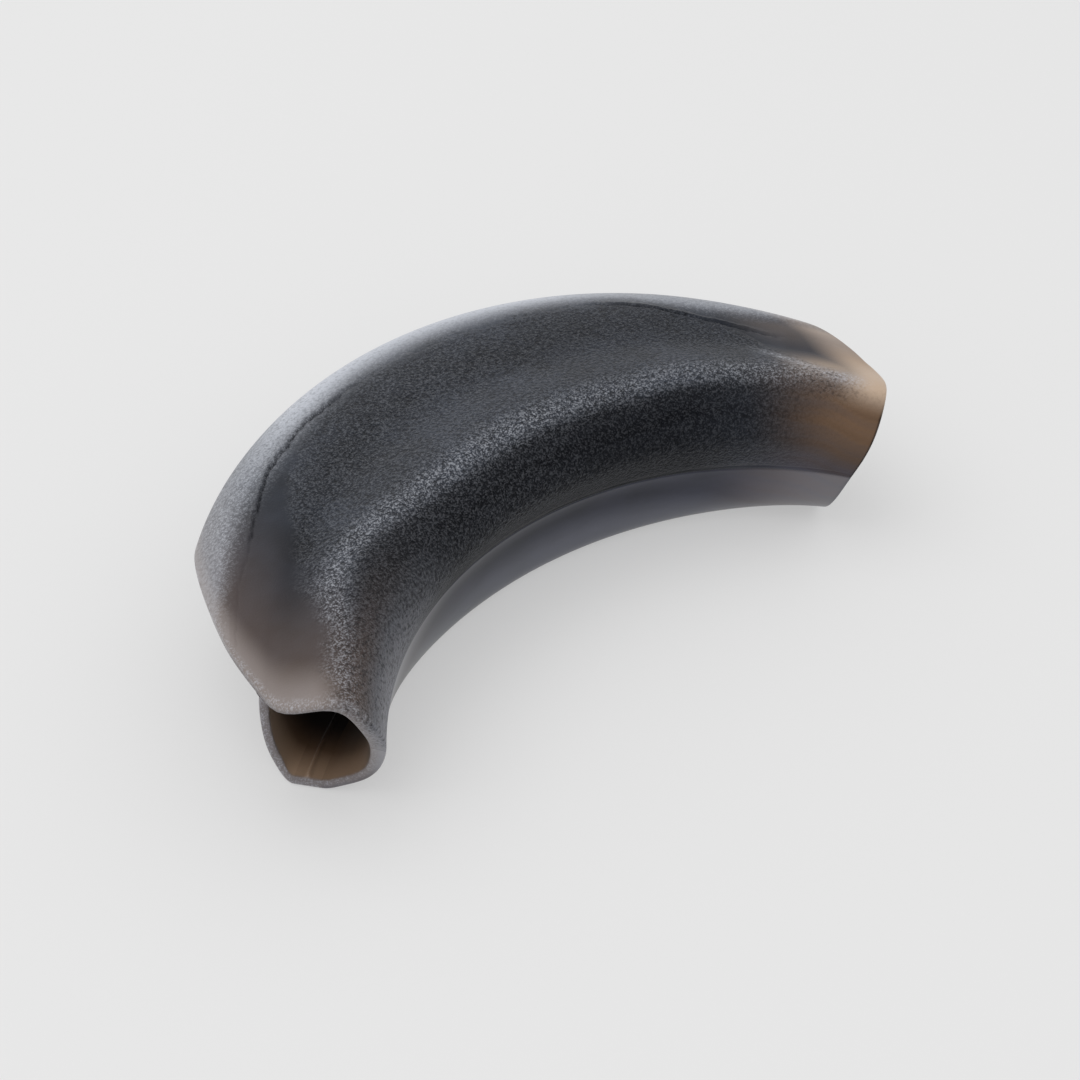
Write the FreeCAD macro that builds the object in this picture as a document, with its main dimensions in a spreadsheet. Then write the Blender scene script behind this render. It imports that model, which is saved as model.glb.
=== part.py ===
"""Neck rest for a shampoo basin: one hollow elastomer moulding, as its moulded members.

Frame: +Z up from the surface that the rest lies on. The bend's centre line is the Z axis of
a working frame; the finished members are shifted so that the origin is under the middle of
the box. +Y points from the concave front to the convex back, and X runs from end to end.

The skin is described by rails: named lines that run along the whole moulding. Each rail has
a distance out from the tube's front or back face and a height, at the middle and at the ends,
and an angle at which it is cut off. Members that meet share their rails, so they touch.
"""
import FreeCAD, Part
import Sketcher
import math
import os

STATIONS = 13          # sections along the bend, from one end to the other
SPAN_STEPS = 3         # points of a section's curve from one rail to the next
SEW_TOLERANCE = 0.005  # mm
SAME_DIRECTION = 1     # a ruled surface joins both curves from their starts
X_AXIS = -1            # the sketcher's number for a sketch's horizontal axis
ORIGIN_POINT = (-1, 1) # the sketcher's numbers for a sketch's origin

# Driving dimensions in millimetres and degrees. "_end" is the value at both ends.
SIZES = [
    ("bend_radius", 145.0, "concave front face, to the bend's centre line"),
    ("front_tuck_end", 2.0, "how much closer to the centre line the front face ends"),
    ("tube_width", 52.0, "front face to back face"),
    ("tube_width_end", 41.0, "front face to back face"),
    ("crest_out", 19.0, "front face to the crest, the highest line of the saddle"),
    ("crest_out_end", 8.0, "front face to the crest"),
    ("crest_height", 61.5, "floor to the crest"),
    ("crest_height_end", 55.8, "floor to the crest"),
    ("end_angle", 45.7, "half of the bend, measured at the crest"),
    ("wall", 3.2, "wall of the tube and the saddle"),
    ("front_wall", 5.0, "wall of the tube's front face, thicker than the rest"),
    ("bead_wall", 4.8, "thickness of the outer bead"),
    ("flap_wall", 2.4, "thickness of the drip flap"),
    ("floor_setback", 17.5, "front face to the flat floor"),
    ("floor_width", 8.5, "flat floor that the rest lies on"),
    ("floor_cut", 5.8, "end_angle less the floor's half angle"),
    ("seam_rib_width", 1.4, "moulding seam along the inside of the floor"),
    ("seam_rib_height", 0.9, "moulding seam along the inside of the floor"),
    ("back_inset", 1.0, "back face to the back wall's top, inwards"),
    ("back_inset_end", 7.5, "back face to the back wall's top, inwards"),
]
# The rails: how far out from the tube's front or back face each lies, how high above the
# floor or how far below the crest, and end_angle less the rail's own half angle.
RAIL_SIZES = [
    ("corner_out", 11.0, "front face to the floor's rounded front edge"),
    ("corner_out_end", 13.5, "front face to the floor's rounded front edge"),
    ("corner_height", 2.6, "floor to the floor's rounded front edge"),
    ("corner_height_end", 2.2, "floor to the floor's rounded front edge"),
    ("corner_cut", 5.8, "end_angle less the half angle of the floor's rounded front edge"),
    ("toe_out", 8.5, "front face to the front face's lower edge"),
    ("toe_out_end", 5.5, "front face to the front face's lower edge"),
    ("toe_height", 11.0, "floor to the front face's lower edge"),
    ("toe_height_end", 8.0, "floor to the front face's lower edge"),
    ("toe_cut", 5.5, "end_angle less the half angle of the front face's lower edge"),
    ("line_out", 7.0, "front face to the parting line above the band"),
    ("line_out_end", -3.0, "front face to the parting line above the band"),
    ("line_height", 29.0, "floor to the parting line above the band"),
    ("line_height_end", 28.5, "floor to the parting line above the band"),
    ("line_cut", 3.4, "end_angle less the half angle of the parting line above the band"),
    ("belly_out", 0.0, "front face to the saddle's front bulge"),
    ("belly_out_end", -1.5, "front face to the saddle's front bulge"),
    ("belly_drop", 15.0, "crest down to the saddle's front bulge"),
    ("belly_drop_end", 11.0, "crest down to the saddle's front bulge"),
    ("belly_cut", 1.0, "end_angle less the half angle of the saddle's front bulge"),
    ("valley_out", 44.0, "front face to the saddle's level back part"),
    ("valley_out_end", 28.0, "front face to the saddle's level back part"),
    ("valley_drop", 3.0, "crest down to the saddle's level back part"),
    ("valley_drop_end", 6.0, "crest down to the saddle's level back part"),
    ("valley_cut", 1.6, "end_angle less the half angle of the saddle's level back part"),
    ("crease_out", 14.5, "back face to the crease before the outer bead"),
    ("crease_out_end", 3.0, "back face to the crease before the outer bead"),
    ("crease_drop", 2.7, "crest down to the crease before the outer bead"),
    ("crease_drop_end", 3.8, "crest down to the crease before the outer bead"),
    ("crease_cut", 6.6, "end_angle less the half angle of the crease before the outer bead"),
    ("bead_out", 24.0, "back face to the outer bead's top"),
    ("bead_out_end", 10.5, "back face to the outer bead's top"),
    ("bead_drop", 3.5, "crest down to the outer bead's top"),
    ("bead_drop_end", 4.2, "crest down to the outer bead's top"),
    ("bead_cut", 9.3, "end_angle less the half angle of the outer bead's top"),
    ("brow_out", 33.3, "back face to where the bead turns down"),
    ("brow_out_end", 23.0, "back face to where the bead turns down"),
    ("brow_drop", 8.0, "crest down to where the bead turns down"),
    ("brow_drop_end", 7.2, "crest down to where the bead turns down"),
    ("brow_cut", 14.0, "end_angle less the half angle of where the bead turns down"),
    ("shoulder_out", 37.3, "back face to the flap's outermost line"),
    ("shoulder_out_end", 34.7, "back face to the flap's outermost line"),
    ("shoulder_drop", 16.0, "crest down to the flap's outermost line"),
    ("shoulder_drop_end", 12.5, "crest down to the flap's outermost line"),
    ("shoulder_cut", 19.3, "end_angle less the half angle of the flap's outermost line"),
    ("tip_out", 35.8, "back face to the flap's free edge"),
    ("tip_out_end", 33.2, "back face to the flap's free edge"),
    ("tip_drop", 29.5, "crest down to the flap's free edge"),
    ("tip_drop_end", 24.5, "crest down to the flap's free edge"),
    ("tip_cut", 22.9, "end_angle less the half angle of the flap's free edge"),
    ("heel_corner_out", -14.0, "back face to the floor's rounded back edge"),
    ("heel_corner_out_end", -7.5, "back face to the floor's rounded back edge"),
    ("heel_corner_height", 2.2, "floor to the floor's rounded back edge"),
    ("heel_corner_height_end", 2.4, "floor to the floor's rounded back edge"),
    ("heel_corner_cut", 6.6, "end_angle less the half angle of the floor's rounded back edge"),
    ("heel_out", -6.0, "back face to the back wall's lower edge"),
    ("heel_out_end", -3.2, "back face to the back wall's lower edge"),
    ("heel_height", 7.5, "floor to the back wall's lower edge"),
    ("heel_height_end", 10.5, "floor to the back wall's lower edge"),
    ("heel_cut", 7.4, "end_angle less the half angle of the back wall's lower edge"),
    ("back_out", 0.0, "back face to the back wall's middle"),
    ("back_out_end", -1.2, "back face to the back wall's middle"),
    ("back_height", 26.0, "floor to the back wall's middle"),
    ("back_height_end", 26.0, "floor to the back wall's middle"),
    ("back_cut", 8.6, "end_angle less the half angle of the back wall's middle"),
    ("back_top_out", -0.3, "back face to the back wall's upper part"),
    ("back_top_out_end", -6.0, "back face to the back wall's upper part"),
    ("back_top_height", 45.0, "floor to the back wall's upper part"),
    ("back_top_height_end", 39.5, "floor to the back wall's upper part"),
    ("back_top_cut", 5.7, "end_angle less the half angle of the back wall's upper part"),
]
LOW_RAILS = ["corner", "toe", "line"]
SADDLE_RAILS = ["belly", "valley"]
OUTER_RAILS = ["crease", "bead", "brow", "shoulder", "tip"]
BACK_RAILS = ["heel_corner", "heel", "back", "back_top"]


def fill_sheet(doc):
    """Put every driving dimension in the sheet, one named cell each."""
    sheet = doc.addObject("Spreadsheet::Sheet", "Sizes")
    for row, (alias, value, note) in enumerate(SIZES + RAIL_SIZES, start=1):
        sheet.set(f"A{row}", note)
        sheet.set(f"B{row}", str(value))
        sheet.setAlias(f"B{row}", alias)
    doc.recompute()
    return sheet


def blend(sheet, alias, share):
    """A size that runs from its middle value (share 0) to its end value (share 1)."""
    middle = getattr(sheet, alias)
    return middle + (getattr(sheet, alias + "_end") - middle) * share


def front_radius(sheet, share):
    return sheet.bend_radius - sheet.front_tuck_end * share


def back_radius(sheet, share):
    return front_radius(sheet, share) + blend(sheet, "tube_width", share)


def rail_point(sheet, name, share, face_radius):
    """Radius, height and end angle of a rail in the section at this share of the bend."""
    if hasattr(sheet, name + "_drop"):
        height = blend(sheet, "crest_height", share) - blend(sheet, name + "_drop", share)
    else:
        height = blend(sheet, name + "_height", share)
    radius = face_radius + blend(sheet, name + "_out", share)
    return (radius, height, sheet.end_angle - getattr(sheet, name + "_cut"))


def between(first, second, radius):
    """The rail that crosses the straight line between two rails at a given radius."""
    share = (radius - first[0]) / (second[0] - first[0])
    return tuple(a + (b - a) * share for a, b in zip(first, second))


def floor_rail(sheet, across):
    """A rail on the flat floor, at a distance from the floor's front edge."""
    radius = sheet.bend_radius + sheet.floor_setback + across
    return (radius, 0.0, sheet.end_angle - sheet.floor_cut)


def skin_section(sheet, share):
    """Rails of the outer skin in one section, from the floor over the saddle to the flap."""
    front = front_radius(sheet, share)
    back = back_radius(sheet, share)
    floor = floor_rail(sheet, 0.0)
    under_floor = floor_rail(sheet, sheet.floor_width / 2)
    low = [rail_point(sheet, rail, share, front) for rail in LOW_RAILS]
    belly, valley = [rail_point(sheet, rail, share, front) for rail in SADDLE_RAILS]
    crest = (front + blend(sheet, "crest_out", share),
             blend(sheet, "crest_height", share), sheet.end_angle)
    outer = [rail_point(sheet, rail, share, back) for rail in OUTER_RAILS]
    web_back_radius = back - blend(sheet, "back_inset", share)
    web_front = between(valley, outer[0], web_back_radius - sheet.wall)
    web_back = between(valley, outer[0], web_back_radius)
    return [under_floor, floor] + low + [belly, crest, valley, web_front, web_back] + outer


SKIN_RAILS = (["under_floor", "floor"] + LOW_RAILS
              + ["belly", "crest", "valley", "web_front", "web_back"] + OUTER_RAILS)


def skin_thickness(sheet, rail):
    if rail in ("bead", "brow"):
        return sheet.bead_wall
    if rail in ("shoulder", "tip"):
        return sheet.flap_wall
    if rail in ("line", "belly"):
        return sheet.front_wall
    return sheet.wall


def flat_at_floor(points, heights, direction):
    """A smooth curve through points that runs level where it touches the floor."""
    curve = Part.BSplineCurve()
    curve.interpolate(Points=points, Tangents=[direction] * len(points),
                      TangentFlags=[height == min(heights) for height in heights])
    return curve


def inward(section, thicknesses):
    """The same section moved in by the wall, square to the section's own curve."""
    points = [FreeCAD.Vector(radius, height, 0) for radius, height, _ in section]
    heights = [rail[1] for rail in section]
    curve = flat_at_floor(points, heights, FreeCAD.Vector(-1, 0, 0))
    moved = []
    for point, rail, thickness in zip(points, section, thicknesses):
        along = curve.tangent(curve.parameter(point))[0]
        shifted = point + FreeCAD.Vector(along.y, -along.x, 0) * thickness
        moved.append((shifted.x, shifted.y, rail[2]))
    return moved


def place(rail, turn):
    """A rail's point in space; turn runs from -1 at one end to 1 at the other."""
    radius, height, end_angle = rail
    angle = math.radians(end_angle * turn)
    return FreeCAD.Vector(radius * math.sin(angle), radius * math.cos(angle), height)


def turns():
    return [2.0 * index / (STATIONS - 1) - 1.0 for index in range(STATIONS)]


def section_points(rails, turn):
    """Points along one section's smooth curve: its rails, and even steps between them."""
    corners = [place(rail, turn) for rail in rails]
    heights = [rail[1] for rail in rails]
    towards_centre = -corners[heights.index(min(heights))]
    towards_centre.z = 0
    curve = flat_at_floor(corners, heights, towards_centre.normalize())
    marks = curve.getKnots()
    points = [corners[0]]
    for start, end in zip(marks, marks[1:]):
        step = (end - start) / SPAN_STEPS
        points += [curve.value(start + step * count) for count in range(1, SPAN_STEPS + 1)]
    return points


def smooth_surface(sections):
    """A smooth surface over sections that stand side by side along the bend."""
    columns = [section_points(rails, turn) for rails, turn in zip(sections, turns())]
    surface = Part.BSplineSurface()
    surface.interpolate([list(row) for row in zip(*columns)])
    return surface


def strip(surface, first, last):
    """The part of a surface between two of its rails."""
    knots = surface.getUKnots()
    part = surface.copy()
    start, end = part.bounds()[2:]
    part.segment(knots[first * SPAN_STEPS], knots[last * SPAN_STEPS], start, end)
    return part


def member(outer, inner):
    """A closed solid between an outer and an inner strip with the same rails."""
    u_start, u_end, v_start, v_end = outer.bounds()
    w_start, w_end, x_start, x_end = inner.bounds()
    sides = [
        (outer.uIso(u_start), inner.uIso(w_start)),
        (outer.uIso(u_end), inner.uIso(w_end)),
        (outer.vIso(v_start), inner.vIso(x_start)),
        (outer.vIso(v_end), inner.vIso(x_end)),
    ]
    faces = [outer.toShape(), inner.toShape()]
    faces += [Part.makeRuledSurface(a.toShape(), b.toShape(), SAME_DIRECTION) for a, b in sides]
    shell = Part.Shell(faces)
    shell.sewShape(SEW_TOLERANCE)
    solid = Part.Solid(shell)
    if solid.Volume < 0:
        solid.reverse()
    return solid


def skin_sections(sheet):
    """The outer and the inner section of the skin at every station."""
    outer, inner = [], []
    thicknesses = [skin_thickness(sheet, rail) for rail in SKIN_RAILS]
    for turn in turns():
        section = skin_section(sheet, turn * turn)
        outer.append(section)
        inner.append(inward(section, thicknesses))
    return outer, inner


def back_sections(sheet, skin_inner):
    """The back wall's sections, from the saddle's underside down to the floor."""
    outer, inner = [], []
    web_front = SKIN_RAILS.index("web_front")
    web_back = SKIN_RAILS.index("web_back")
    floor = [floor_rail(sheet, sheet.floor_width), floor_rail(sheet, sheet.floor_width / 2)]
    for turn, underside in zip(turns(), skin_inner):
        share = turn * turn
        face = back_radius(sheet, share)
        rails = [rail_point(sheet, rail, share, face) for rail in reversed(BACK_RAILS)]
        section = [underside[web_back]] + rails + floor
        lining = inward(section, [sheet.wall] * len(section))
        lining[0] = underside[web_front]
        outer.append(section)
        inner.append(lining)
    return outer, inner


def skin_members(sheet):
    """Every member whose walls are free-form, by name."""
    skin_outer, skin_inner = skin_sections(sheet)
    outside = smooth_surface(skin_outer)
    inside = smooth_surface(skin_inner)
    rail = SKIN_RAILS.index
    spans = {
        "front_band": (rail("floor"), rail("line")),
        "neck_saddle": (rail("line"), rail("crease")),
        "outer_bead": (rail("crease"), rail("brow")),
        "drip_flap": (rail("brow"), rail("tip")),
    }
    members = {name: member(strip(outside, *span), strip(inside, *span))
               for name, span in spans.items()}
    back_outer, back_inner = back_sections(sheet, skin_inner)
    back_span = (0, len(BACK_RAILS) + 1)
    members["back_wall"] = member(strip(smooth_surface(back_outer), *back_span),
                                  strip(smooth_surface(back_inner), *back_span))
    return members


def free_form(doc, name, shape):
    """A document object for a skin member, which no sketch or primitive can describe."""
    feature = doc.addObject("Part::Feature", name)
    feature.Label = name
    feature.Shape = shape
    return feature


def origin_plane(body, role):
    return next(plane for plane in body.Origin.OriginFeatures if plane.Role == role)


def bind(sketch, direction, line, start, expression):
    """Tie a line's start point to the sheet, measured from the sketch's origin."""
    distance = Sketcher.Constraint(direction, *ORIGIN_POINT, line, 1, start)
    number = sketch.addConstraint(distance)
    sketch.setExpression(f"Constraints[{number}]", expression)


def tube_floor(doc, sheet):
    """The flat floor strip with the seam rib inside, turned about the bend's centre line."""
    body = doc.addObject("PartDesign::Body", "tube_floor")
    body.Label = "tube_floor"
    sketch = body.newObject("Sketcher::SketchObject", "floor_section")
    sketch.AttachmentSupport = [(origin_plane(body, "YZ_Plane"), "")]
    sketch.MapMode = "FlatFace"
    front = "Sizes.bend_radius + Sizes.floor_setback"
    middle = f"{front} + Sizes.floor_width / 2"
    back = f"{front} + Sizes.floor_width"
    rib_front = f"{middle} - Sizes.seam_rib_width / 2"
    rib_back = f"{middle} + Sizes.seam_rib_width / 2"
    rib_top = "Sizes.wall + Sizes.seam_rib_height"
    corners = [
        (front, None),
        (back, None),
        (back, "Sizes.wall"),
        (rib_back, "Sizes.wall"),
        (middle, rib_top),
        (rib_front, "Sizes.wall"),
        (front, "Sizes.wall"),
    ]
    points = [FreeCAD.Vector(float(sheet.evalExpression(radius)),
                             float(sheet.evalExpression(height)) if height else 0.0)
              for radius, height in corners]
    for start, end in zip(points, points[1:] + points[:1]):
        sketch.addGeometry(Part.LineSegment(start, end), False)
    for index, (radius, height) in enumerate(corners):
        previous = (index - 1) % len(corners)
        sketch.addConstraint(Sketcher.Constraint("Coincident", previous, 2, index, 1))
        bind(sketch, "DistanceX", index, points[index].x, radius)
        if height:
            bind(sketch, "DistanceY", index, points[index].y, height)
        else:
            sketch.addConstraint(Sketcher.Constraint("PointOnObject", index, 1, X_AXIS))
    strip_turn = body.newObject("PartDesign::Revolution", "floor_strip")
    strip_turn.Profile = sketch
    strip_turn.ReferenceAxis = (sketch, ["V_Axis"])
    strip_turn.Midplane = True
    strip_turn.setExpression("Angle", "2 * (Sizes.end_angle - Sizes.floor_cut)")
    return body


def check(doc, parts):
    """Stop when any object failed or any member is not one valid solid."""
    for item in doc.Objects:
        if "Invalid" in item.State or "Error" in item.State:
            raise RuntimeError(f"{item.Name} failed: {item.State}")
    for part in parts:
        if part.Shape.isNull() or not part.Shape.isValid() or len(part.Shape.Solids) != 1:
            raise RuntimeError(f"{part.Label} is not one valid solid")


def main():
    doc = FreeCAD.newDocument("neck_rest")
    sheet = fill_sheet(doc)
    parts = [free_form(doc, name, shape) for name, shape in skin_members(sheet).items()]
    parts.append(tube_floor(doc, sheet))
    doc.recompute()
    box = Part.makeCompound([part.Shape for part in parts]).optimalBoundingBox()
    for part in parts:
        part.Placement = FreeCAD.Placement(FreeCAD.Vector(0, -box.Center.y, 0), FreeCAD.Rotation())
    doc.recompute()
    check(doc, parts)
    os.makedirs("parts", exist_ok=True)
    for part in parts:
        part.Shape.exportStep(f"parts/{part.Label}.step")
        size = part.Shape.BoundBox
        print(f"{part.Label}: {part.Shape.Volume / 1000:.1f} cm3, "
              f"{size.XLength:.1f} x {size.YLength:.1f} x {size.ZLength:.1f} mm")


main()
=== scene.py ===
import functools
import math

import bpy
import numpy as np
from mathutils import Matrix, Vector


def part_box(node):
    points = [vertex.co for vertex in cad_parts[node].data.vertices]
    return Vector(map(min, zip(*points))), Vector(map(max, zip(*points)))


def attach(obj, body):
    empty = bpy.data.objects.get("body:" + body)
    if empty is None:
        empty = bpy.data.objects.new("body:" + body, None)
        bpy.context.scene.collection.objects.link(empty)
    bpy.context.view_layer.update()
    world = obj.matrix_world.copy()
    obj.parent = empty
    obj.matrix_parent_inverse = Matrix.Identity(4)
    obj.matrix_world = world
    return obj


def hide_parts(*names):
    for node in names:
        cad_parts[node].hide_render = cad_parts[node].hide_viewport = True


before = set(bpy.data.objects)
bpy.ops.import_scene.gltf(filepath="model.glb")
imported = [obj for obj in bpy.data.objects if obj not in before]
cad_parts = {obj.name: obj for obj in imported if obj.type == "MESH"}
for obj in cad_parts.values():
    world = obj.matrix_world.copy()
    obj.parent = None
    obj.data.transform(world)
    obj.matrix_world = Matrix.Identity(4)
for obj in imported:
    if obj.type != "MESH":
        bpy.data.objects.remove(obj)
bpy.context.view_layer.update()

# A basin neck rest: one hollow elastomer moulding, shown as its six moulded members.
# Sizes are in millimetres and degrees, as in the part's source; MM turns them into metres.
# "_end" is the value at both ends, and a size runs from one to the other with turn squared.
MM = 0.001
SIZES = {
    "bend_radius": 145.0, "front_tuck": 0.0, "front_tuck_end": 2.0,
    "tube_width": 52.0, "tube_width_end": 41.0,
    "crest_out": 19.0, "crest_out_end": 8.0,
    "crest_height": 61.5, "crest_height_end": 55.8,
    "back_inset": 1.0, "back_inset_end": 7.5,
    "end_angle": 45.7, "wall": 3.2, "front_wall": 5.0, "bead_wall": 4.8, "flap_wall": 2.4,
    "floor_setback": 17.5, "floor_width": 8.5, "floor_cut": 5.8,
    "seam_rib_width": 1.4, "seam_rib_height": 0.9,
}
# Rails run along the moulding: the face that "out" starts from, out at the middle and at the
# ends, then a height above the floor (UP) or a drop from the crest (DOWN) at the middle and at
# the ends, and the angle by which the rail stops short of end_angle.
UP, DOWN = 1, -1
RAILS = {
    "corner": ("front", 11.0, 13.5, UP, 2.6, 2.2, 5.8),
    "toe": ("front", 8.5, 5.5, UP, 11.0, 8.0, 5.5),
    "line": ("front", 7.0, -3.0, UP, 29.0, 28.5, 3.4),
    "belly": ("front", 0.0, -1.5, DOWN, 15.0, 11.0, 1.0),
    "valley": ("front", 44.0, 28.0, DOWN, 3.0, 6.0, 1.6),
    "crease": ("back", 14.5, 3.0, DOWN, 2.7, 3.8, 6.6),
    "bead": ("back", 24.0, 10.5, DOWN, 3.5, 4.2, 9.3),
    "brow": ("back", 33.3, 23.0, DOWN, 8.0, 7.2, 14.0),
    "shoulder": ("back", 37.3, 34.7, DOWN, 16.0, 12.5, 19.3),
    "tip": ("back", 35.8, 33.2, DOWN, 29.5, 24.5, 22.9),
    "heel_corner": ("back", -14.0, -7.5, UP, 2.2, 2.4, 6.6),
    "heel": ("back", -6.0, -3.2, UP, 7.5, 10.5, 7.4),
    "back": ("back", 0.0, -1.2, UP, 26.0, 26.0, 8.6),
    "back_top": ("back", -0.3, -6.0, UP, 45.0, 39.5, 5.7),
}
# The outer skin from the floor strip over the crest to the flap's free edge, and the wall
# behind the tube from the saddle's underside down to the floor strip.
SKIN = ["floor", "corner", "toe", "line", "belly", "crest", "valley", "web_front",
        "web_back", "crease", "bead", "brow", "shoulder", "tip"]
BACK = ["underside", "back_top", "back", "heel", "heel_corner", "floor"]
WALL_OF = {"line": "front_wall", "belly": "front_wall", "bead": "bead_wall",
           "brow": "bead_wall", "shoulder": "flap_wall", "tip": "flap_wall"}

STATIONS = 400        # sections from one end to the other
TURN_LENGTH = 150.0   # mm along the bend from its middle to an end, near enough for patterns
ROW_STEP = 1.15       # mm between rows of the outer skin
BACK_ROW_STEP = 1.6   # mm between rows of the wall behind the tube
INNER_EVERY = 3       # the lining keeps one row in three
EDGE_RADIUS = 0.9     # mm, rounding of the ends and of the flap's free edge
# Extra rows and stations, in mm from the parting line, from the crease and from the ends.
LINE_ROWS = (0.15, 0.3, 0.45, 0.65, 0.9, 1.2, 1.5, 1.8, 2.1, 2.5, 3.0)
CREASE_ROWS = tuple(0.45 * step for step in range(1, 21))
END_STATIONS = (0.0, 0.1, 0.25, 0.45, 0.7, 1.0, 1.4)


def station_turns():
    """Turns from -1 to 1, with extra stations at both ends for the rounded edges."""
    near_end = [1.0 - distance / TURN_LENGTH for distance in END_STATIONS]
    inner = np.linspace(-near_end[-1], near_end[-1], STATIONS)
    return np.array([-turn for turn in near_end[:-1]] + list(inner) + near_end[:-1][::-1])


TURN = station_turns()
SHARE = TURN ** 2


def size(name):
    """A size at every station."""
    return SIZES[name] + (SIZES.get(name + "_end", SIZES[name]) - SIZES[name]) * SHARE


FRONT = size("bend_radius") - size("front_tuck")
REAR = FRONT + size("tube_width")
CREST_HEIGHT = size("crest_height")


def stack(radius, height, angle):
    """A rail as one row per station: radius, height and end angle."""
    return np.stack(np.broadcast_arrays(radius, height, angle * np.ones_like(TURN)), axis=1)


def rail(name):
    """One of the rails in the table."""
    face, out, out_end, way, height, height_end, cut = RAILS[name]
    start = FRONT if face == "front" else REAR
    up = height + (height_end - height) * SHARE
    if way == DOWN:
        up = CREST_HEIGHT - up
    return stack(start + out + (out_end - out) * SHARE, up, SIZES["end_angle"] - cut)


def floor_rail(across):
    """A line on the floor strip, so many millimetres out from its inner edge."""
    radius = SIZES["bend_radius"] + SIZES["floor_setback"] + across
    return stack(radius, 0.0 * TURN, SIZES["end_angle"] - SIZES["floor_cut"])


def between(first, second, radius):
    """The rail on the straight from one rail to another that lies at a given radius."""
    share = ((radius - first[:, 0]) / (second[:, 0] - first[:, 0]))[:, None]
    return first + (second - first) * share


def place(rails):
    """Points in the bend's own frame; the last axis is x, y, z in millimetres."""
    angle = np.radians(rails[..., 2]) * TURN
    return np.stack([rails[..., 0] * np.sin(angle), rails[..., 0] * np.cos(angle),
                     rails[..., 1]], axis=-1)


def spline_slopes(knots, points, first=None, last=None):
    """Slopes of the smooth curve through points[k, station]; free where no end is given."""
    count = len(points)
    step = np.diff(knots, axis=0)
    rise = np.diff(points, axis=0) / step[..., None]
    matrix = np.zeros((points.shape[1], count, count))
    right = np.zeros((points.shape[1], count, points.shape[2]))
    for k in range(1, count - 1):
        matrix[:, k, k - 1] = step[k]
        matrix[:, k, k] = 2 * (step[k - 1] + step[k])
        matrix[:, k, k + 1] = step[k - 1]
        right[:, k] = 3 * (step[k][:, None] * rise[k - 1] + step[k - 1][:, None] * rise[k])
    for k, neighbour, given in ((0, 1, first), (count - 1, count - 2, last)):
        if given is None:
            matrix[:, k, k], matrix[:, k, neighbour] = 2, 1
            right[:, k] = 3 * rise[min(k, count - 2)]
        else:
            matrix[:, k, k] = 1
            right[:, k] = given
    return np.moveaxis(np.linalg.solve(matrix, right), 0, 1)


def chord_knots(points):
    """Distance along the chords from the first point, at every station."""
    lengths = np.linalg.norm(np.diff(points, axis=0), axis=-1)
    return np.concatenate([np.zeros((1, points.shape[1])), np.cumsum(lengths, axis=0)])


def sample(points, rows, first=None, last=None):
    """Points of the curve at rows, each a (span, share of the span)."""
    knots = chord_knots(points)
    slopes = spline_slopes(knots, points, first, last)
    out = []
    for span, share in rows:
        step = (knots[span + 1] - knots[span])[:, None]
        a, b = 2 * share ** 3 - 3 * share ** 2 + 1, share ** 3 - 2 * share ** 2 + share
        c, d = -2 * share ** 3 + 3 * share ** 2, share ** 3 - share ** 2
        out.append(a * points[span] + b * step * slopes[span]
                   + c * points[span + 1] + d * step * slopes[span + 1])
    return np.array(out)


def inward(rails, thickness, first=None, last=None):
    """Rails moved in by the wall, square to their own section."""
    flat = rails[..., :2]
    along = spline_slopes(chord_knots(flat), flat, first, last)
    along /= np.linalg.norm(along, axis=-1, keepdims=True)
    square = np.stack([along[..., 1], -along[..., 0]], axis=-1)
    moved = rails.copy()
    moved[..., :2] += square * np.array(thickness)[:, None, None]
    return moved


def to_centre():
    """Direction from the floor's rail to the bend's centre line, at every station."""
    angle = np.radians(SIZES["end_angle"] - SIZES["floor_cut"]) * TURN
    return np.stack([-np.sin(angle), -np.cos(angle), 0 * angle], axis=1)


# The same direction in a section's own radius and height.
FLAT_IN = np.stack([-np.ones_like(TURN), 0 * TURN], axis=1)


def skin_rails():
    """Every rail by name, with those that follow from others."""
    rails = {name: rail(name) for name in RAILS}
    rails["floor"] = floor_rail(0.0)
    rails["crest"] = stack(FRONT + size("crest_out"), CREST_HEIGHT, SIZES["end_angle"])
    web = REAR - size("back_inset")
    rails["web_front"] = between(rails["valley"], rails["crease"], web - SIZES["wall"])
    rails["web_back"] = between(rails["valley"], rails["crease"], web)
    return rails


def plan_rows(points, step, extra):
    """Rows for a skin: even steps in each span, and extra rows beside named rails."""
    rows = []
    middle = points.shape[1] // 2
    for span in range(len(points) - 1):
        length = float(np.linalg.norm(points[span + 1, middle] - points[span, middle]))
        marks = set()
        low, high = 0.0, length
        if span in extra:
            marks |= set(extra[span])
            low = max(extra[span])
        if span + 1 in extra:
            marks |= {length - gap for gap in extra[span + 1]}
            high = length - max(extra[span + 1])
        count = max(1, round((high - low) / step))
        marks |= {low + (high - low) * k / count for k in range(count + 1)}
        # Rounded, so that two marks at one place don't make a row of no width.
        marks = sorted({round(mark, 6) for mark in marks if 1e-6 < mark < length - 1e-6})
        rows += [(span, 0.0)] + [(span, mark / length) for mark in marks]
    return rows + [(len(points) - 2, 1.0)]


def row_of(rows, index):
    """The row that lies on a rail."""
    return next(k for k, (span, share) in enumerate(rows)
                if (span == index and share == 0.0) or (span == index - 1 and share == 1.0))


def grid_normals(grid):
    """Unit normals of a grid of rows by stations."""
    along = np.gradient(grid, axis=1)
    across = np.gradient(grid, axis=0)
    normal = np.cross(along, across)
    return normal / np.linalg.norm(normal, axis=-1, keepdims=True)


def waves(seed, wavelengths, sizes, place_at):
    """A smooth irregular line: seeded waves along the bend, place_at in millimetres."""
    draw = np.random.default_rng(seed)
    total = np.zeros_like(place_at)
    for wavelength, height in zip(wavelengths, sizes):
        total += height * np.sin(2 * np.pi * place_at / wavelength + draw.uniform(0, 2 * np.pi))
    return total


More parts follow.
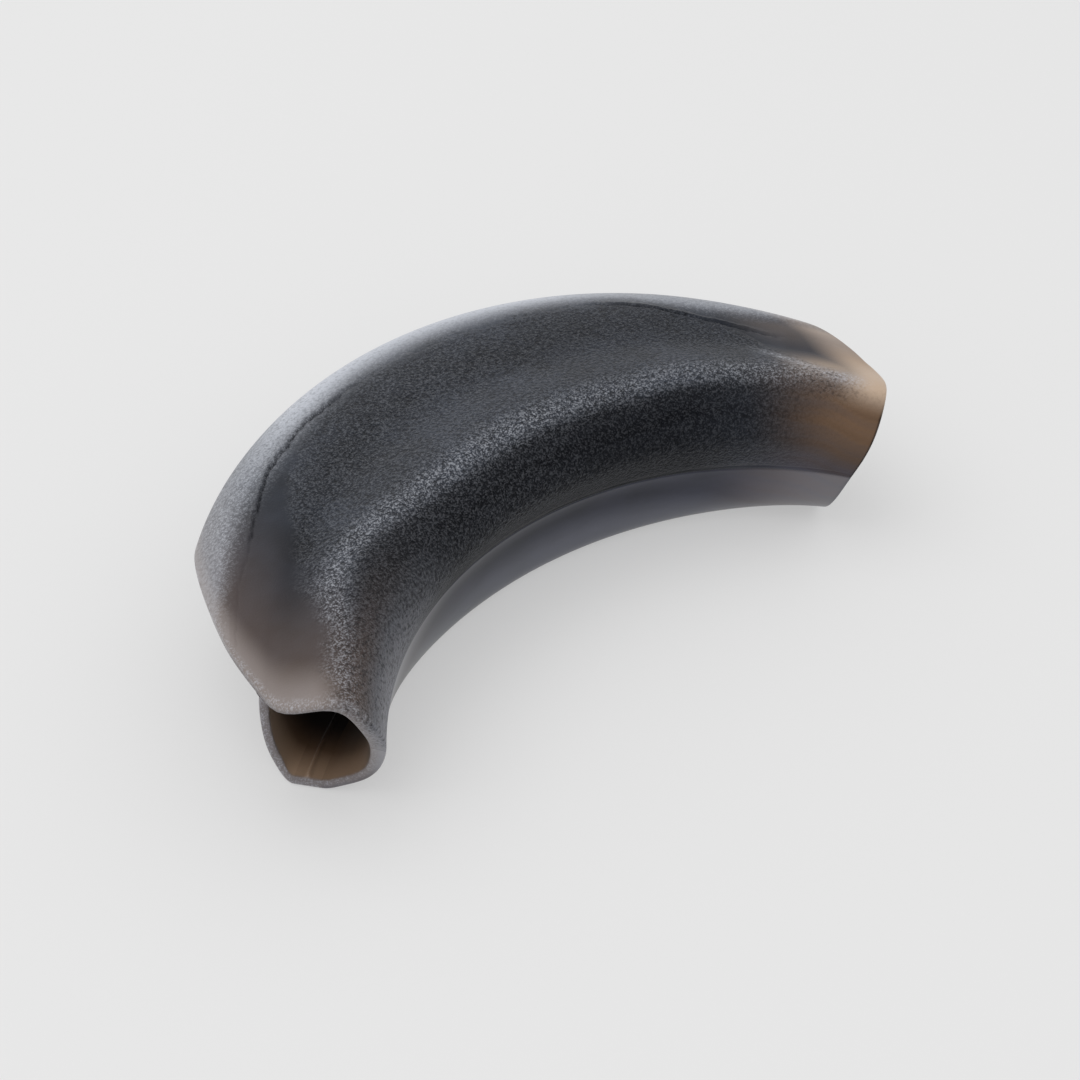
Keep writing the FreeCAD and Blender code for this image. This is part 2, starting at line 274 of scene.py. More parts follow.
def bump(distance, width):
    """1 at no distance, fading to nothing over about twice the width."""
    return np.exp(-(distance / width) ** 2)


def smooth_step(value, low, high):
    """0 up to low, 1 from high on, with a smooth rise between them."""
    share = np.clip((value - low) / (high - low), 0, 1)
    return share * share * (3 - 2 * share)


def union(*masks):
    """The strongest of several masks at every place."""
    return functools.reduce(np.maximum, masks)


rails = skin_rails()
skin_outer_rails = np.array([rails[name] for name in SKIN])
walls = [SIZES[WALL_OF.get(name, "wall")] for name in SKIN]
skin_inner_rails = inward(skin_outer_rails, walls, first=FLAT_IN)
skin_points = place(skin_outer_rails)
skin_inner_points = place(skin_inner_rails)
LINE, CREASE = SKIN.index("line"), SKIN.index("crease")
skin_rows = plan_rows(skin_points, ROW_STEP, {LINE: LINE_ROWS, CREASE: CREASE_ROWS})
skin = sample(skin_points, skin_rows, first=to_centre())
lining = sample(skin_inner_points, skin_rows, first=to_centre())
skin_row = {name: row_of(skin_rows, SKIN.index(name)) for name in SKIN}

# Millimetres across the skin: arc from the floor strip on, and from three of the rails.
arc = np.concatenate([np.zeros((1, len(TURN))),
                      np.cumsum(np.linalg.norm(np.diff(skin, axis=0), axis=-1), axis=0)])
from_line = arc - arc[skin_row["line"]]
from_crease = arc - arc[skin_row["crease"]]
from_crest = arc - arc[skin_row["crest"]]
along_mm = TURN * TURN_LENGTH


def relief():
    """How far the outer skin stands proud, in millimetres, and where shade is painted in its
    crease.
    """
    # The crease's groove wanders, and drifts towards the valley at both ends.
    wander = waves(11, (61.0, 23.0, 9.1, 4.7, 2.9), (0.5, 0.35, 0.25, 0.2, 0.15), along_mm)
    path = np.where(TURN < 0, 5.0 - 9.0 * smooth_step(-TURN, 0.48, 0.74),
                    3.0 - 17.5 * smooth_step(TURN, 0.48, 0.82))
    depth = 0.75 + waves(12, (37.0, 13.0, 5.3, 3.1), (0.25, 0.2, 0.18, 0.12), along_mm)
    near_reach = smooth_step(-TURN, 0.06, 0.3) * (1 - smooth_step(-TURN, 0.6, 0.73))
    far_reach = smooth_step(TURN, 0.42, 0.62) * (1 - smooth_step(TURN, 0.72, 0.86))
    strength = np.where(TURN < 0, near_reach, far_reach)
    away = from_crease - path - wander
    groove = -depth * (0.22 + 0.78 * strength) * bump(away, 0.7)
    lip = 0.45 * strength * bump(away - 1.6, 1.2)
    # The parting line, and a fainter second line above it.
    line = -0.42 * bump(from_line, 0.28)
    fade = 0.5 + waves(13, (83.0, 31.0, 17.0), (0.22, 0.18, 0.1), along_mm)
    double = -0.22 * np.clip(fade, 0, 1) * bump(from_line - 1.9, 0.3)
    ends = smooth_step(1 - np.abs(TURN), 0.0, 0.06)
    # The valley fills up into a rounded nose at the far end.
    nose = 2.3 * smooth_step(TURN, 0.78, 0.96) * bump(from_crest - 35.0, 17.0)
    return (groove + lip) * ends + line + double + nose, strength * ends * bump(away, 0.9)


proud, crease_shade = relief()
skin = skin + grid_normals(skin) * proud[..., None]


def end_distance(rails_at):
    """Distance from the nearer end along each row, in millimetres."""
    return (1 - np.abs(TURN)) * rails_at[..., 0] * np.radians(rails_at[..., 2])


def round_over(outer, inner, distance):
    """Round both edges of a wall where its distance to an edge runs out."""
    half = (outer - inner) / 2
    middle = (outer + inner) / 2
    thick = np.linalg.norm(half, axis=-1)
    radius = np.minimum(EDGE_RADIUS, thick * 0.95)
    inside = np.clip(distance, 0, radius)
    keep = thick - radius + np.sqrt(np.maximum(radius ** 2 - (radius - inside) ** 2, 0))
    scale = (keep / np.maximum(thick, 1e-9))[..., None]
    return middle + half * scale, middle - half * scale


def row_rails(rails_at, rows):
    """Radius and end angle of every row, straight between its rails."""
    return np.array([rails_at[span] + (rails_at[span + 1] - rails_at[span]) * share
                     for span, share in rows])


to_end = end_distance(row_rails(skin_outer_rails, skin_rows))
to_tip = arc[-1] - arc
skin, lining = round_over(skin, lining, np.minimum(to_end, np.maximum(to_tip, 0)))

# The wall behind the tube, from the saddle's underside down to the floor.
underside_front = skin_inner_rails[SKIN.index("web_front")]
underside_back = skin_inner_rails[SKIN.index("web_back")]
back_outer_rails = np.array([underside_back] + [rails[name] for name in BACK[1:-1]]
                            + [floor_rail(SIZES["floor_width"])])
back_inner_rails = inward(back_outer_rails, [SIZES["wall"]] * len(BACK), last=FLAT_IN)
back_inner_rails[0] = underside_front
back_rows = plan_rows(place(back_outer_rails), BACK_ROW_STEP, {})
back_skin = sample(place(back_outer_rails), back_rows, last=to_centre())
back_lining = sample(place(back_inner_rails), back_rows, last=to_centre())
back_end = end_distance(row_rails(back_outer_rails, back_rows))
back_skin, back_lining = round_over(back_skin, back_lining, back_end)

# The flat floor strip, with the moulding seam along its inside.
width, rib, rib_top = SIZES["floor_width"], SIZES["seam_rib_width"], SIZES["seam_rib_height"]
across = sorted({0.0, width} | {width * k / 12 for k in range(13)}
                | {width / 2 + rib * k / 8 for k in range(-8, 9)})
floor_skin = np.array([place(floor_rail(at)) for at in across])
floor_rails = np.array([floor_rail(at) for at in across])
floor_lining = floor_skin.copy()
floor_lining[..., 2] += SIZES["wall"]
floor_skin, floor_lining = round_over(floor_skin, floor_lining, end_distance(floor_rails))
rise = np.array([rib_top * bump(at - width / 2, rib / 2) for at in across])
rise_at_ends = smooth_step(end_distance(floor_rails), 0.0, 2.0)
floor_lining[..., 2] += rise[:, None] * rise_at_ends

# The bend's centre lies so many metres behind the row's origin.
floor_outer_edge = SIZES["bend_radius"] + SIZES["floor_setback"] + width
OFFSET = MM * floor_outer_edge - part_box("tube_floor")[1].y


def to_row_frame(grid):
    """Points in metres in the row's frame."""
    moved = grid * MM
    moved[..., 1] -= OFFSET
    return moved


def sheet_piece(name, outer, inner, outer_normals, inner_normals, inner_rows, masks, lining_masks):
    """One closed member between an outer and an inner grid of rows by stations."""
    rows, stations = outer.shape[:2]
    lining_count = len(inner_rows)
    points = np.concatenate([outer.reshape(-1, 3), inner[inner_rows].reshape(-1, 3)])
    base = rows * stations

    def out(row, station):
        return row * stations + station

    def inn(row, station):
        return base + row * stations + station

    faces = []
    for row in range(rows - 1):
        for station in range(stations - 1):
            faces.append((out(row, station), out(row, station + 1),
                          out(row + 1, station + 1), out(row + 1, station)))
    for row in range(lining_count - 1):
        for station in range(stations - 1):
            faces.append((inn(row, station), inn(row + 1, station),
                          inn(row + 1, station + 1), inn(row, station + 1)))
    first_edge = len(faces)
    last, last_in = rows - 1, lining_count - 1
    for station in range(stations - 1):
        faces.append((out(0, station), inn(0, station), inn(0, station + 1), out(0, station + 1)))
        faces.append((out(last, station), out(last, station + 1),
                      inn(last_in, station + 1), inn(last_in, station)))
    for station, flip in ((0, False), (stations - 1, True)):
        for k in range(lining_count - 1):
            run = [out(row, station) for row in range(inner_rows[k], inner_rows[k + 1] + 1)]
            loop = run + [inn(k + 1, station), inn(k, station)]
            faces.append(tuple(reversed(loop)) if flip else tuple(loop))
    mesh = bpy.data.meshes.new(name)
    mesh.from_pydata([tuple(point) for point in points], [], faces)
    for mask in masks:
        values = np.concatenate([masks[mask].reshape(-1),
                                 lining_masks[mask][inner_rows].reshape(-1)])
        layer = mesh.attributes.new(mask, "FLOAT", "POINT")
        layer.data.foreach_set("value", values.astype(np.float32))
    mesh.polygons.foreach_set("use_smooth", [True] * len(faces))
    # The skins keep the grids' own normals, and the cut edges are flat.
    normals = np.concatenate([outer_normals.reshape(-1, 3),
                              inner_normals[inner_rows].reshape(-1, 3)])
    corner = np.zeros(len(mesh.loops), int)
    mesh.loops.foreach_get("vertex_index", corner)
    split = normals[corner]
    for polygon in mesh.polygons[first_edge:]:
        end = polygon.loop_start + polygon.loop_total
        split[polygon.loop_start:end] = polygon.normal
    mesh.normals_split_custom_set([tuple(normal) for normal in split])
    piece = bpy.data.objects.new(name, mesh)
    bpy.context.scene.collection.objects.link(piece)
    return piece


def inner_rows_of(count):
    """Rows of the lining that are kept: one in INNER_EVERY, and the last."""
    rows = list(range(0, count, INNER_EVERY))
    if rows[-1] != count - 1:
        rows.append(count - 1)
    return rows


# Masks from 0 to 1 that the materials read. In what follows turn runs from -1 at the near
# mouth to 1 at the far one, from_crest is in millimetres and negative in front of the crest,
# and behind is 0 at the crest and 1 at the crease.
MASKS = ("grain", "speck_and_glint", "shade_and_streaks", "frost_and_sheen", "glow", "brown_glow", "blue")

turn = np.broadcast_to(TURN, from_crest.shape)
behind = from_crest / (arc[skin_row["crease"]] - arc[skin_row["crest"]])
near = smooth_step(-turn, 0.3, 0.95)
far = smooth_step(turn, 0.84, 0.97)
above = smooth_step(from_line, -0.3, 0.3)
skirt = 1 - above                              # smooth band below the parting line
lit = smooth_step(-from_crest, 6.0, 25.0)      # front face, away from the crest

# The ridge's painted highlight lies on the crest, and behind it at the near bend and the far end.
shift = (9.5 * bump(turn + 0.58, 0.2) + 3.0 * smooth_step(turn, 0.3, 0.5)
         + 4.0 * smooth_step(turn, 0.7, 0.85) - 1.0)
ridge_highlight = bump(from_crest - shift, 5.0)
front = 1 - smooth_step(from_crest, -8.0 + shift, -2.0 + shift)

# The bead and the flap begin past the crease's groove, which drifts inwards at both ends.
past = from_crease + 8.0 * smooth_step(turn, 0.5, 0.72) + 2.0 * smooth_step(-turn, 0.12, 0.4)
outside = smooth_step(past, 0.0, 6.0)
# The flap's outer face, which hangs down behind the bead, has less bloom and less painted sheen.
hidden = smooth_step(from_crest, 68.0, 80.0) * (1 - smooth_step(-turn, 0.25, 0.6))

# A painted highlight streak runs out of the far valley, and the near mouth has a lip with painted
# glints.
highlight_streak = bump(behind - 0.42 + 0.34 * smooth_step(turn, 0.66, 0.88), 0.08)
highlight_streak *= smooth_step(turn, 0.66, 0.76) * (1 - smooth_step(turn, 0.9, 0.98))
lip = (1 - smooth_step(to_end, 1.0, 4.5)) * smooth_step(-turn, 0.0, 0.1)
lip *= smooth_step(from_crest, -30.0, 0.0)
# Painted light coming through the wall at the near end, behind the crest.
near_end_light = smooth_step(-turn, 0.86, 0.99) * smooth_step(from_crest, -4.0, 8.0)
behind_nose = bump(from_crest - 39.0, 14.0)

# The front face near the far end is violet, and streaked where the rubber flowed.
violet = smooth_step(turn, 0.5, 0.85) * smooth_step(-from_crest, 22.0, 33.0)
flow = waves(31, (8.7, 3.9, 2.1), (0.5, 0.32, 0.18),
             from_crest + waves(32, (70.0, 31.0), (1.5, 0.8), along_mm))
streaky = union(smooth_step(turn, 0.5, 0.8) * smooth_step(-from_crest, 2.0, 8.0), 0.4 * skirt)


def grain_mask():
    """The moulded grain of the saddle, which stops short of the valley's smooth ends."""
    border = 0.04 + 1.05 * np.where(turn < 0, 1 - smooth_step(-turn, 0.32, 0.88),
                                    1 - smooth_step(turn, 0.55, 0.93))
    border = border + waves(21, (29.0, 11.0, 5.3), (0.03, 0.02, 0.015), along_mm)
    grain = 1 - smooth_step(behind, border - 0.09 - 0.07 * near, border + 0.07 + 0.07 * near)
    grain *= smooth_step(from_line, 1.0, 5.0) * (1 - 0.8 * far)
    grain *= 1 - 0.85 * smooth_step(turn, 0.64, 0.84) * smooth_step(-from_crest, 1.0, 10.0)
    return grain


def pebble_mask():
    """The grain of the bead and the flap, stronger on the near half."""
    pebbled = smooth_step(past, -2.0, 15.0) * (0.45 + 0.35 * smooth_step(-turn, -0.1, 0.5))
    pebbled *= 1 - 0.13 * smooth_step(-turn, 0.4, 0.7) - 0.4 * smooth_step(-turn, 0.78, 0.95)
    pebbled *= 1 - 0.5 * hidden
    return pebbled


def speck_and_glint_mask(grain, pebbled):
    """Pale specks on the tops of the grain, with painted glints: most of all along the ridge's
    painted highlight, and on the rim's painted sheen, the streak and the lip.
    """
    on_ridge = 0.36 - 0.06 * smooth_step(turn, 0.0, 0.3)
    speck_and_glint = grain * (0.12 - 0.03 * smooth_step(turn, -0.1, 0.3) - 0.04 * front + on_ridge * ridge_highlight)
    rim_sheen = smooth_step(past, 13.0, 20.0) * (1 - smooth_step(np.abs(turn), 0.3, 0.6))
    return union(speck_and_glint, 0.55 * pebbled, 0.5 * highlight_streak, 0.35 * lip,
                 0.9 * rim_sheen * (1 - 0.8 * hidden))


def shade_and_streaks_mask():
    """Painted shade, near black: the front face under the ridge, the skirt under the belly, the
    valley, the crease and the far rim; the rubber's own flow streaks are added on top.
    """
    undercut_shade = bump(from_crest + 15.0 - shift, 8.0)
    shade_and_streaks = union(front * above * 0.9, undercut_shade) * (1 - 0.7 * near) * (1 - 0.7 * violet)
    shade_and_streaks *= 1 - 0.75 * smooth_step(turn, 0.4, 0.94)
    tucked_shade = skirt * bump(from_line + 6.0, 6.0) * (1 - smooth_step(np.abs(turn), 0.35, 0.75))
    hollow_shade = bump(from_crest - 34.0 + 14.0 * smooth_step(-turn, 0.3, 0.75), 9.0)
    hollow_shade *= (1 - smooth_step(-turn, 0.66, 0.86)) * (1 - smooth_step(turn, 0.6, 0.82))
    in_crease_shade = (0.58 - 0.2 * smooth_step(turn, 0.5, 0.8)) * crease_shade
    rim_edge_shade = (1 - smooth_step(to_end, 0.3, 1.3)) * smooth_step(-from_crest, 0.0, 9.0)
    shade_and_streaks = union(shade_and_streaks, 0.35 * tucked_shade, 0.5 * hollow_shade, in_crease_shade, 0.8 * rim_edge_shade * (turn > 0))
    return np.clip(shade_and_streaks + 0.16 * flow * streaky, 0, 1)


def frost_and_sheen_mask():
    """Pale bloom with painted sheen on the bead and the flap, and painted light thinly on the
    front face, the skirt and the ends.
    """
    bloom_and_sheen = outside * (0.1 + 0.9 * smooth_step(past, 3.5, 16.5))
    bloom_and_sheen *= (1 - 0.65 * smooth_step(-turn, 0.22, 0.66)) * (1 - 0.5 * smooth_step(turn, 0.35, 0.7))
    bloom_and_sheen *= 1 - 0.8 * crease_shade
    bloom_and_sheen *= 1 - 0.84 * hidden
    near_front_light = 0.43 * near * lit * (1 - 0.75 * smooth_step(-from_crest, 42.0, 54.0))
    low_skirt = 0.18 * smooth_step(-from_crest, 50.0, 64.0) * skirt
    far_skirt = 0.24 * smooth_step(turn, 0.6, 0.98) * skirt
    return union(bloom_and_sheen, near_front_light, low_skirt, far_skirt, 0.22 * near_end_light, 0.15 * lip,
                 0.22 * highlight_streak, 0.2 * far * behind_nose)


def glow_mask():
    """Amber, where light comes through: the far nose and a little at the near lip."""
    end_glow = far * smooth_step(from_crest, -9.0, 1.5)
    end_glow = end_glow * (1 - 0.45 * bump(from_crest - 32.0, 11.0))
    nose_glow = 0.14 * smooth_step(turn, 0.7, 0.86) * behind_nose
    crest_glow = 0.55 * smooth_step(turn, 0.7, 0.86) * bump(from_crest - 10.0, 8.0)
    glow = union(end_glow, nose_glow, crest_glow) * (1 - 0.5 * outside) * (1 - 0.8 * crease_shade)
    return union(glow, 0.25 * near_end_light)


def brown_glow_mask():
    """Painted warm light coming through the wall, where it thins towards the mouths."""
    brown_glow = union(smooth_step(turn, 0.6, 0.95) * bump(from_crest + 12.0, 15.0),
                  0.3 * smooth_step(-turn, 0.52, 0.98) * (1 - front),
                  0.35 * near * bump(from_crest + 7.0, 7.0),
                  0.22 * near * lit,
                  0.25 * smooth_step(turn, 0.55, 0.9) * skirt)
    return np.clip(brown_glow * (1 + 0.4 * flow * streaky), 0, 1)


def skin_masks():
    """Masks of the outer skin."""
    grain, pebbled = grain_mask(), pebble_mask()
    return {"grain": union(grain, pebbled * 0.7), "speck_and_glint": speck_and_glint_mask(grain, pebbled),
            "shade_and_streaks": shade_and_streaks_mask(), "frost_and_sheen": frost_and_sheen_mask(), "glow": glow_mask(),
            "brown_glow": brown_glow_mask(), "blue": union(skirt, violet)}


def skin_lining_masks():
    """Masks of the skin's inner face: less painted shade low down in the mouth than under the
    saddle.
    """
    upper = smooth_step(from_crest, -58.0, -30.0)
    return lining_masks(turn, 0.2 + 0.75 * upper, 0.85 + 0.15 * upper)


def lining_masks(at, mouth, deep):
    """Masks of the walls' inner faces at some turns: painted light coming through at the mouths,
    then painted shade further in.

    mouth and deep say how much shade is painted on the lining at the mouths and further in.
    """
    inward_mm = (1 - np.abs(at)) * 125.0
    end_face = 1 - smooth_step(inward_mm, 0.3, 1.6)
    shade = mouth + (deep - mouth) * smooth_step(inward_mm, 2.0, 26.0)
    masks = {name: np.zeros(at.shape) for name in MASKS}
    masks["brown_glow"] += 1 - 0.6 * end_face
    masks["shade_and_streaks"] += shade * (1 - end_face)
    masks["frost_and_sheen"] += 0.22 * end_face
    masks["glow"] += 0.42 * np.clip(1 - 2.0 * shade, 0, 1) * (1 - end_face)
    masks["speck_and_glint"] += 0.25 * end_face
    return masks


def plain_masks(grid):
    """Masks of the outer faces of the back wall and the floor strip."""
    at = np.broadcast_to(TURN, grid.shape[:2])
    masks = {name: np.zeros(at.shape) for name in MASKS}
    # Painted light coming through the wall towards the mouths, and pale specks with painted glints
    # at the very ends.
    ends = smooth_step(np.abs(at), 0.6, 0.97)
    masks["brown_glow"], masks["blue"] = 0.4 * ends, 1 - 0.4 * ends
    masks["frost_and_sheen"] = 0.25 * ends
    masks["speck_and_glint"] = 0.4 * smooth_step(np.abs(at), 0.9, 0.99)
    return masks


def plain_lining_masks(grid, mouth):
    """Masks of the inner faces of the back wall and the floor strip."""
    return lining_masks(np.broadcast_to(TURN, grid.shape[:2]), mouth, 0.95)


def srgb(red, green, blue):
    """A colour written as it looks, 0 to 255, for a shader's socket."""
    return tuple(((v / 255) / 12.92 if v <= 10 else ((v / 255 + 0.055) / 1.055) ** 2.4)
                 for v in (red, green, blue)) + (1.0,)


# The near black paints shade as well as the grain's pits; the brown and the amber paint light
# coming through the wall; the frost colours carry painted sheen; the pale colour paints specks and
# glints.
SMOKE = (srgb(15, 21, 32), srgb(40, 46, 58))
BLUE_GREY = (srgb(29, 32, 46), srgb(46, 48, 64))
BLACK = srgb(4, 6, 12)
BROWN_GLOW = srgb(118, 90, 66)
AMBER = srgb(186, 163, 141)
FROST_AND_SHEEN = srgb(172, 175, 184)
RIM_FROST_AND_SHEEN = srgb(188, 192, 201)
PALE = srgb(204, 208, 217)
BACKDROP = srgb(230, 230, 230)


def rubber(name, frost_and_sheen_colour, roughness, specular, grain_depth):
    """A smoky elastomer: dark body and pale grain, with painted shade, painted sheen on the frost,
    painted glints on the specks, and painted warm light where light would come through the wall.

    The second argument is the bloom's colour, with its painted sheen, and grain_depth the height
    of the bumps in metres.
    """
    material = bpy.data.materials.new(name)
    material.use_nodes = True
    nodes, links = material.node_tree.nodes, material.node_tree.links
    shader = nodes["Principled BSDF"]

    def node(kind, **values):
        made = nodes.new(kind)
        for key, value in values.items():
            setattr(made, key, value)
        return made

    def mask(attribute):
        return node("ShaderNodeAttribute", attribute_name=attribute).outputs["Fac"]

    def math_node(operation, a, b):
        made = node("ShaderNodeMath", operation=operation)
        for socket, value in zip(made.inputs, (a, b)):
            if isinstance(value, float):
                socket.default_value = value
            else:
                links.new(value, socket)
        return made.outputs[0]

    def mix(factor, a, b):
        made = node("ShaderNodeMix", data_type="RGBA")
        for key, value in ((0, factor), (6, a), (7, b)):   # the colour mode's own sockets
            if isinstance(value, (float, tuple)):
                made.inputs[key].default_value = value
            else:
                links.new(value, made.inputs[key])
        return made.outputs[2]

    def ramp(value, low, high):
        made = node("ShaderNodeMapRange")
        made.interpolation_type = "SMOOTHSTEP"
        links.new(value, made.inputs["Value"])
        made.inputs["From Min"].default_value = low
        made.inputs["From Max"].default_value = high
        return made.outputs["Result"]

    spot = node("ShaderNodeTexCoord").outputs["Object"]

    def noise(scale, detail):
        made = node("ShaderNodeTexNoise")
        links.new(spot, made.inputs["Vector"])
        made.inputs["Scale"].default_value = scale
        made.inputs["Detail"].default_value = detail
        return made.outputs["Fac"]

    def blend(a, b):
        """Six parts of one noise and four of another."""
        return math_node("ADD", math_node("MULTIPLY", a, 0.6), math_node("MULTIPLY", b, 0.4))

    grit, pebbles = noise(1900.0, 2.0), noise(900.0, 3.0)
    cloud, broad = noise(55.0, 4.0), noise(17.0, 2.0)
    patches = ramp(blend(cloud, broad), 0.35, 0.65)
    specks = ramp(blend(grit, pebbles), 0.44, 0.66)
    # Body tones, then painted shade, painted light coming through the wall, frost with painted
    # sheen, the grain's pits, and pale specks with painted glints.
    body = mix(patches, SMOKE[0], SMOKE[1])
    body = mix(mask("blue"), body, mix(patches, BLUE_GREY[0], BLUE_GREY[1]))
    body = mix(mask("brown_glow"), body, BROWN_GLOW)
    body = mix(mask("shade_and_streaks"), body, BLACK)
    body = mix(mask("glow"), body, AMBER)
    body = mix(mask("frost_and_sheen"), body, frost_and_sheen_colour)
    pits = math_node("MULTIPLY", ramp(pebbles, 0.52, 0.32), mask("grain"))
    body = mix(math_node("MULTIPLY", pits, 0.6), body, BLACK)
    body = mix(math_node("MULTIPLY", specks, mask("speck_and_glint")), body, PALE)
    links.new(body, shader.inputs["Base Color"])
    rough = math_node("ADD", math_node("MULTIPLY", mask("grain"), 0.14),
                      math_node("ADD", math_node("MULTIPLY", cloud, 0.1), roughness - 0.05))
    links.new(rough, shader.inputs["Roughness"])
    shine = math_node("SUBTRACT", specular, math_node("MULTIPLY", mask("shade_and_streaks"), 0.27))
    links.new(shine, shader.inputs["Specular IOR Level"])
    height = math_node("ADD", math_node("MULTIPLY", pebbles, mask("grain")),
                       math_node("MULTIPLY", grit, 0.1))
    relief_node = node("ShaderNodeBump")
    relief_node.inputs["Strength"].default_value = 1.0
    relief_node.inputs["Distance"].default_value = grain_depth
    links.new(height, relief_node.inputs["Height"])
    links.new(relief_node.outputs["Normal"], shader.inputs["Normal"])
    shader.inputs["Sheen Weight"].default_value = 0.1
    shader.inputs["Sheen Roughness"].default_value = 0.5
    return material


pad = rubber("grained_pad", FROST_AND_SHEEN, 0.45, 0.30, 0.0010)
wall = rubber("smooth_wall", FROST_AND_SHEEN, 0.32, 0.38, 0.00008)
rim = rubber("frosted_rim", RIM_FROST_AND_SHEEN, 0.42, 0.30, 0.0006)

skin_normals, lining_normals = grid_normals(skin), -grid_normals(lining)
back_normals, back_lining_normals = grid_normals(back_skin), -grid_normals(back_lining)
floor_normals, floor_lining_normals = grid_normals(floor_skin), -grid_normals(floor_lining)
skin, lining = to_row_frame(skin), to_row_frame(lining)
back_skin, back_lining = to_row_frame(back_skin), to_row_frame(back_lining)
floor_skin, floor_lining = to_row_frame(floor_skin), to_row_frame(floor_lining)
outer_masks, inner_masks = skin_masks(), skin_lining_masks()


def part_of(masks, low, high):
    """The masks on the rows from low to high."""
    return {name: values[low:high + 1] for name, values in masks.items()}


def finish_piece(piece, node, material, slot):
    """Give a piece its material and its body, and hide the part of the node it stands for; the
    slot is not used.
    """
    piece.data.materials.append(material)
    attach(piece, "root")
    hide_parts(node)


# Members cut from the skin: node, first and last rail, material and slot.
MEMBERS = (
    ("front_band", "floor", "line", wall, "smooth_wall"),
    ("neck_saddle", "line", "crease", pad, "grained_pad"),
    ("outer_bead", "crease", "brow", rim, "frosted_rim"),
    ("drip_flap", "brow", "tip", rim, "frosted_rim"),
)
for node_name, first, last, material, slot in MEMBERS:
    low, high = skin_row[first], skin_row[last]
    piece = sheet_piece(node_name + "_skin", skin[low:high + 1], lining[low:high + 1],
                        skin_normals[low:high + 1], lining_normals[low:high + 1],
                        inner_rows_of(high - low + 1),
                        part_of(outer_masks, low, high), part_of(inner_masks, low, high))
    finish_piece(piece, node_name, material, slot)

back_piece = sheet_piece("back_wall_skin", back_skin, back_lining, back_normals,
                         back_lining_normals, list(range(len(back_skin))),
                         plain_masks(back_skin), plain_lining_masks(back_lining, 0.0))
finish_piece(back_piece, "back_wall", wall, "smooth_wall")
floor_piece = sheet_piece("tube_floor_strip", floor_skin[::-1], floor_lining[::-1],
                          -floor_normals[::-1], -floor_lining_normals[::-1],
                          list(range(len(floor_skin))),
                          plain_masks(floor_skin), plain_lining_masks(floor_lining, 0.1))
finish_piece(floor_piece, "tube_floor", wall, "smooth_wall")


def background_rays(nodes, links):
    """1 for the rays that see the background: camera, glossy and transmission rays."""
    rays = nodes.new("ShaderNodeLightPath")
    total = rays.outputs["Is Camera Ray"]
    for name in ("Is Glossy Ray", "Is Transmission Ray"):
        either = nodes.new("ShaderNodeMath")
        either.operation = "MAXIMUM"
        links.new(total, either.inputs[0])
        links.new(rays.outputs[name], either.inputs[1])
        total = either.outputs[0]
    return total


SHADOW_SOFTENING = 0.5       # share of the backdrop's plain tone in what is seen of the floor
FLOOR_TONE = (0.787, 0.787, 0.787, 1.0)
FLOOR_REACH = 8.0            # m from the middle to each side of the floor
FLOOR_LEVEL = -0.0002        # m, just under the rest
WORLD_LIGHT = 0.84
LAMP_WATTS = 11.0
LAMP_SIDE = 1.8              # m
LAMP_AT = (-0.6, 0.5, 1.9)   # m, above and behind the rest


def pale_floor():
    """A plain floor that takes the shadow, with part of the backdrop's tone mixed in."""
    floor_mesh = bpy.data.meshes.new("floor")
    corners = [(x * FLOOR_REACH, y * FLOOR_REACH, FLOOR_LEVEL)
               for x, y in ((-1, -1), (1, -1), (1, 1), (-1, 1))]
    floor_mesh.from_pydata(corners, [], [(0, 1, 2, 3)])
    floor = bpy.data.objects.new("floor", floor_mesh)
    bpy.context.scene.collection.objects.link(floor)
    paint = bpy.data.materials.new("floor")
    paint.use_nodes = True
    shader = paint.node_tree.nodes["Principled BSDF"]
    shader.inputs["Base Color"].default_value = FLOOR_TONE
    shader.inputs["Roughness"].default_value = 0.9
    shader.inputs["Specular IOR Level"].default_value = 0.1
    nodes, links = paint.node_tree.nodes, paint.node_tree.links
    tone = nodes.new("ShaderNodeEmission")
    tone.inputs["Color"].default_value = BACKDROP
    soften = nodes.new("ShaderNodeMath")
    soften.operation = "MULTIPLY"
    soften.inputs[1].default_value = SHADOW_SOFTENING
    links.new(background_rays(nodes, links), soften.inputs[0])
    blend = nodes.new("ShaderNodeMixShader")
    links.new(soften.outputs[0], blend.inputs[0])
    links.new(shader.outputs[0], blend.inputs[1])
    links.new(tone.outputs[0], blend.inputs[2])
    links.new(blend.outputs[0], nodes["Material Output"].inputs["Surface"])
    floor_mesh.materials.append(paint)


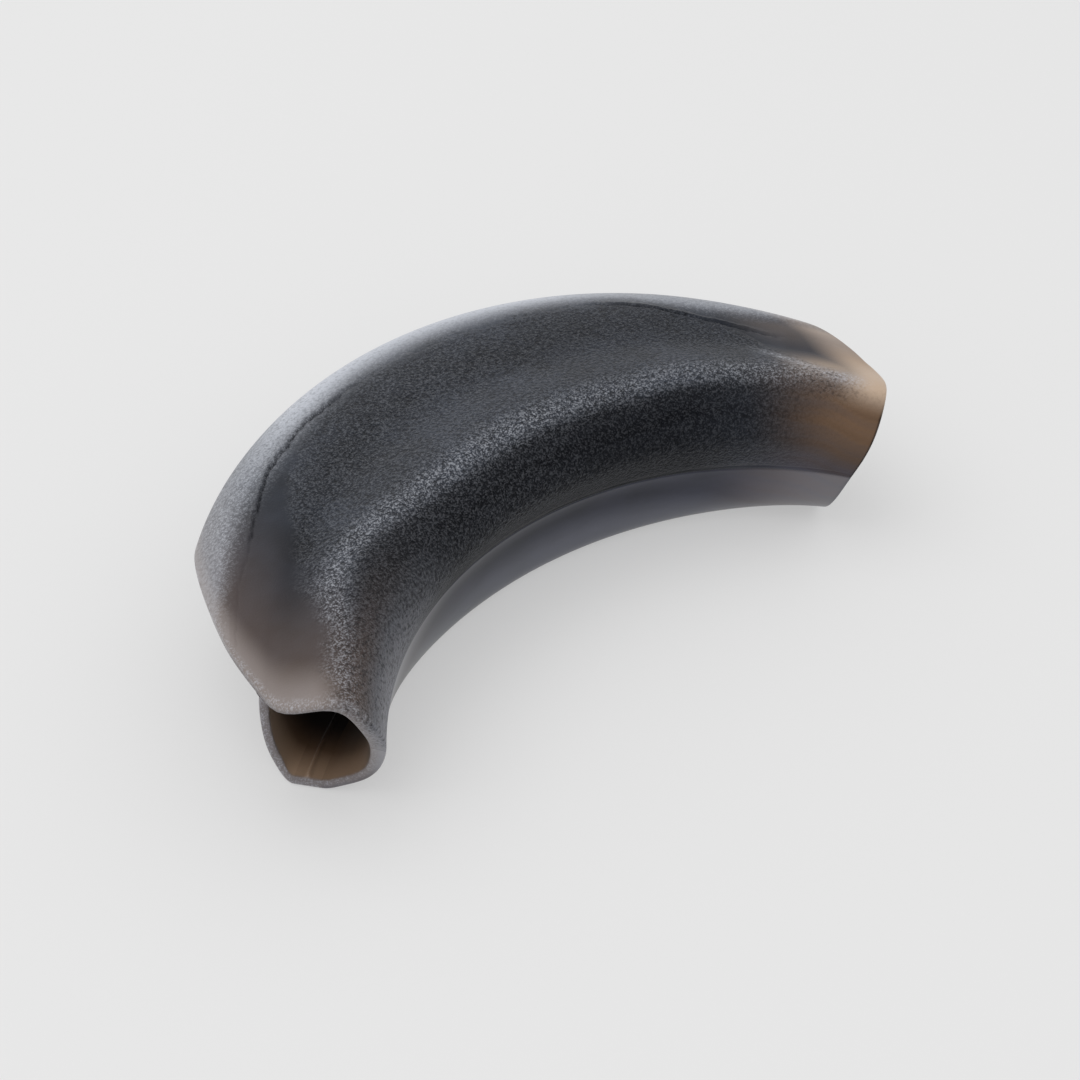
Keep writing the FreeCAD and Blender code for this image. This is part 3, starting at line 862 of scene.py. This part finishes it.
def pale_surround():
    """White light from all around, and the backdrop's tone where the surround itself is seen."""
    world = bpy.data.worlds.new("studio")
    bpy.context.scene.world = world
    world.use_nodes = True
    nodes, links = world.node_tree.nodes, world.node_tree.links
    nodes.clear()
    light = nodes.new("ShaderNodeBackground")
    light.inputs["Color"].default_value = (1.0, 1.0, 1.0, 1.0)
    light.inputs["Strength"].default_value = WORLD_LIGHT
    backdrop = nodes.new("ShaderNodeBackground")
    backdrop.inputs["Color"].default_value = BACKDROP
    backdrop.inputs["Strength"].default_value = 1.0
    choose = nodes.new("ShaderNodeMixShader")
    out = nodes.new("ShaderNodeOutputWorld")
    links.new(background_rays(nodes, links), choose.inputs[0])
    links.new(light.outputs[0], choose.inputs[1])
    links.new(backdrop.outputs[0], choose.inputs[2])
    links.new(choose.outputs[0], out.inputs["Surface"])


def aim(thing, target):
    """Turn a lamp or camera to look at a point, with its top up."""
    direction = Vector(target) - Vector(thing.location)
    thing.rotation_euler = direction.to_track_quat("-Z", "Y").to_euler()


def soft_lamp():
    """One large soft light overhead."""
    lamp = bpy.data.lights.new("softbox", "AREA")
    lamp.shape = "RECTANGLE"
    lamp.size, lamp.size_y = LAMP_SIDE, LAMP_SIDE
    lamp.energy = LAMP_WATTS
    softbox = bpy.data.objects.new("softbox", lamp)
    softbox.location = LAMP_AT
    aim(softbox, (0.0, 0.0, 0.0))
    bpy.context.scene.collection.objects.link(softbox)


CAMERA_AZIMUTH = math.radians(-38.8)    # from straight in front, negative to the left
CAMERA_ELEVATION = math.radians(42.7)
CAMERA_DISTANCE = 0.72                  # m
CAMERA_TARGET = (0.0, -0.0069, 0.0252)  # m
CAMERA_SHIFT = (0.021296, -0.022222)    # of the frame's width
CAMERA_LENS = 74.3                      # mm


def camera():
    """The camera, above and to the left of the near end."""
    lens = bpy.data.cameras.new("camera")
    lens.sensor_width = 36.0
    lens.lens = CAMERA_LENS
    lens.shift_x, lens.shift_y = CAMERA_SHIFT
    eye = bpy.data.objects.new("camera", lens)
    across = CAMERA_DISTANCE * math.cos(CAMERA_ELEVATION)
    eye.location = (CAMERA_TARGET[0] + across * math.sin(CAMERA_AZIMUTH),
                    CAMERA_TARGET[1] - across * math.cos(CAMERA_AZIMUTH),
                    CAMERA_TARGET[2] + CAMERA_DISTANCE * math.sin(CAMERA_ELEVATION))
    aim(eye, CAMERA_TARGET)
    bpy.context.scene.collection.objects.link(eye)
    bpy.context.scene.camera = eye


pale_floor()
pale_surround()
soft_lamp()
camera()
bpy.context.scene.view_settings.view_transform = "Standard"
